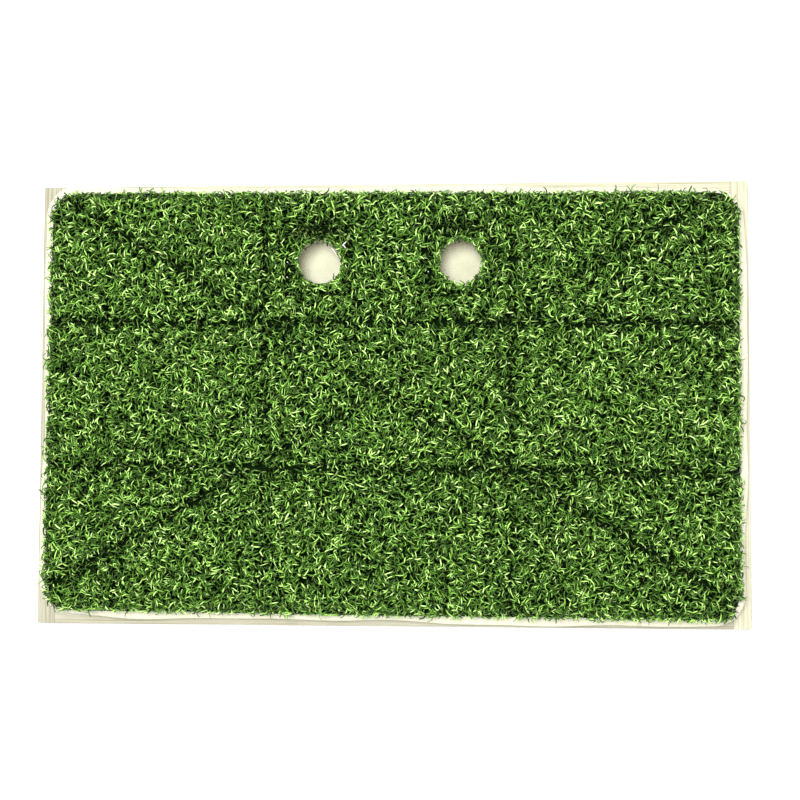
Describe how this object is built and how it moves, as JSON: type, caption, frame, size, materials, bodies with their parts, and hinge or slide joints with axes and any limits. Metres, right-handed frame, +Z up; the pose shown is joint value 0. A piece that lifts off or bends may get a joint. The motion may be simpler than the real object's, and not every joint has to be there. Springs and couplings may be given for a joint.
{
  "type": "golf hitting mat",
  "caption": "Rectangular golf hitting mat: a sewn turf pad with tee holes near one long side, bonded to a cream base board with edge trims.",
  "frame": {"origin": "middle of the underside of the base, on the floor", "axes": "+X along the long side, +Y towards the long side with the tee holes, +Z up out of the pile"},
  "size_m": [0.61, 0.38, 0.036],
  "materials": {
    "base_skin": "smooth cream plastic sheet, satin",
    "base_core": "closed-cell foam board, matt",
    "edge_trim": "cream extruded strip, streaked along its length",
    "adhesive": "hot-melt adhesive, waxy",
    "bottom_fabric": "thin non-woven cloth",
    "foam": "white closed-cell foam, matt",
    "latex": "rubbery coat, matt",
    "woven_backing": "flat woven plastic cloth",
    "turf_yarn": "curly crimped plastic yarn, half gloss",
    "needle_thread": "twisted polyester thread",
    "bobbin_thread": "twisted polyester thread"
  },
  "bodies": {
    "root": {"base_bottom_skin": "base_skin", "base_core": "base_core", "base_top_skin": "base_skin", "front_edge_trim": "edge_trim", "rear_edge_trim": "edge_trim", "left_edge_trim": "edge_trim", "right_edge_trim": "edge_trim", "adhesive_layer": "adhesive", "pad_bottom_fabric": "bottom_fabric", "shock_pad": "foam", "turf_latex_backing": "latex", "turf_woven_backing": "woven_backing", "turf_pile": "turf_yarn", "rear_seam_needle_thread": "needle_thread", "rear_seam_bobbin_thread": "bobbin_thread", "front_seam_needle_thread": "needle_thread", "front_seam_bobbin_thread": "bobbin_thread", "left_seam_needle_thread": "needle_thread", "left_seam_bobbin_thread": "bobbin_thread", "right_seam_needle_thread": "needle_thread", "right_seam_bobbin_thread": "bobbin_thread", "falling_seam_needle_thread": "needle_thread", "falling_seam_bobbin_thread": "bobbin_thread", "rising_seam_needle_thread": "needle_thread", "rising_seam_bobbin_thread": "bobbin_thread", "left_hole_needle_thread": "needle_thread", "left_hole_bobbin_thread": "bobbin_thread", "right_hole_needle_thread": "needle_thread", "right_hole_bobbin_thread": "bobbin_thread"}
  },
  "joints": []
}
